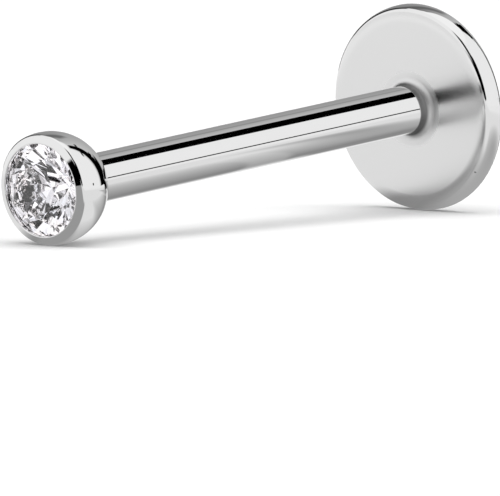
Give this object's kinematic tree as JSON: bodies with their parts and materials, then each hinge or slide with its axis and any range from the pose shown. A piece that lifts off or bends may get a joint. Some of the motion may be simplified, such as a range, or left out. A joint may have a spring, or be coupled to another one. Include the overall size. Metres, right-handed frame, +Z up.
{
  "type": "labret stud",
  "caption": "Flat-backed labret stud in polished surgical steel: a straight round post on a disc back, and a ball end set with a clear round brilliant.",
  "frame": {"origin": "on the surface that the stud lies on, at the middle of its box: under the middle of its length", "axes": "+Z up; the post runs along X, with the ball and stone towards -X and the disc back towards +X; the post slopes down to the ball by 4.9 degrees, because the stud lies on the disc's edge and the ball's side"},
  "size_m": [0.0146, 0.005, 0.0051],
  "materials": {
    "post_steel": "mirror-polished post and edge, satin disc face",
    "ball_steel": "mirror polish",
    "clear_stone": "cut and polished facets"
  },
  "bodies": {
    "root": {"labret_post": "post_steel", "ball": "ball_steel", "stone": "clear_stone"}
  },
  "joints": []
}
